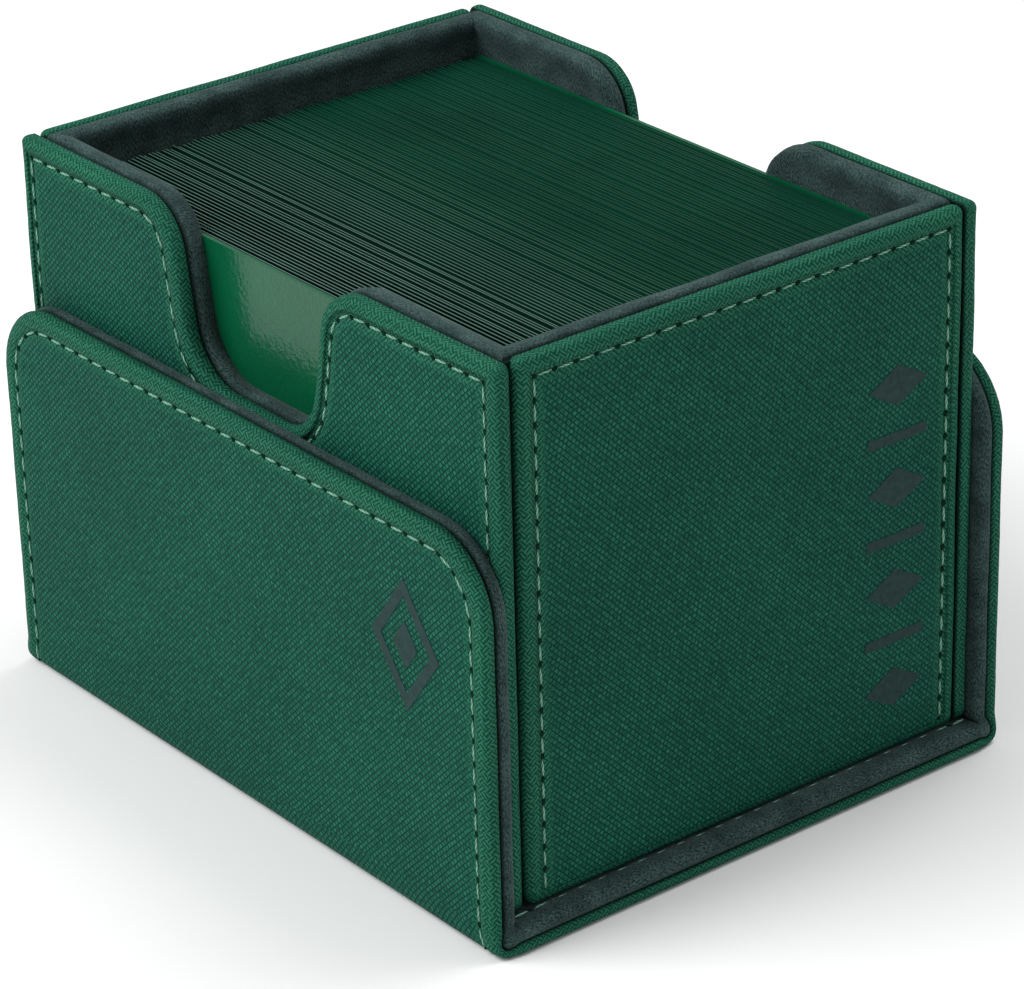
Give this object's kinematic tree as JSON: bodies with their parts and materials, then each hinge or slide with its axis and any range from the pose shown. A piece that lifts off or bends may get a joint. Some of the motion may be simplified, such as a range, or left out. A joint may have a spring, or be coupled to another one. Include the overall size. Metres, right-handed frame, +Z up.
{
  "type": "card deck box",
  "caption": "Open card tray of stitched textured panels with thumb notches, standing in its upturned two-flap lid and filled with sleeved playing cards.",
  "frame": {"origin": "middle of the lid base's underside, on the surface it stands on", "axes": "+Z up; +X along the notched walls towards a plain end wall; -Y towards the front notched wall; the cards stack along Y"},
  "size_m": [0.11, 0.0884, 0.0803],
  "materials": {
    "cover": "textured coated fabric, satin, green",
    "lining": "brushed microfibre, dark grey green",
    "board": "raw grey board",
    "magnet": "nickel plated disc",
    "card_edges": "stacked sleeve edges",
    "card_sleeve": "glossy sleeve film, green",
    "thread": "twisted polyester, pale mint",
    "mark": "smooth pressed foil, dark grey green"
  },
  "bodies": {
    "lid_base": {"lid_cover": "cover", "lid_board": "board", "lid_lining": "lining", "front_fold": "cover", "back_fold": "cover"},
    "front_flap": {"front_flap_cover": "cover", "front_flap_board": "board", "front_flap_lining": "lining", "front_flap_magnets": "magnet"},
    "back_flap": {"back_flap_cover": "cover", "back_flap_board": "board", "back_flap_lining": "lining", "back_flap_magnets": "magnet"},
    "tray": {"front_wall_cover": "cover", "front_wall_board": "board", "front_wall_lining": "lining", "front_wall_magnets": "magnet", "back_wall_cover": "cover", "back_wall_board": "board", "back_wall_lining": "lining", "back_wall_magnets": "magnet", "left_end_cover": "cover", "left_end_board": "board", "left_end_lining": "lining", "right_end_cover": "cover", "right_end_board": "board", "right_end_lining": "lining", "floor_cover": "cover", "floor_board": "board", "floor_lining": "lining"},
    "deck": {"front_card": "card_sleeve", "cards_front": "card_edges", "cards_middle": "card_edges", "cards_back": "card_edges"}
  },
  "joints": [
    {"name": "front_flap_fold", "type": "hinge", "parent": "lid_base", "child": "front_flap", "pos_m": [0, -0.0433, 0.0009], "axis": [1, 0, 0], "range_deg": [0, 90]},
    {"name": "back_flap_fold", "type": "hinge", "parent": "lid_base", "child": "back_flap", "pos_m": [0, 0.0433, 0.0009], "axis": [-1, 0, 0], "range_deg": [0, 90]},
    {"name": "tray_lift", "type": "slide", "parent": "lid_base", "child": "tray", "axis": [0, 0, 1], "range_m": [0, 0.09]},
    {"name": "deck_lift", "type": "slide", "parent": "tray", "child": "deck", "axis": [0, 0, 1], "range_m": [0, 0.08]}
  ]
}
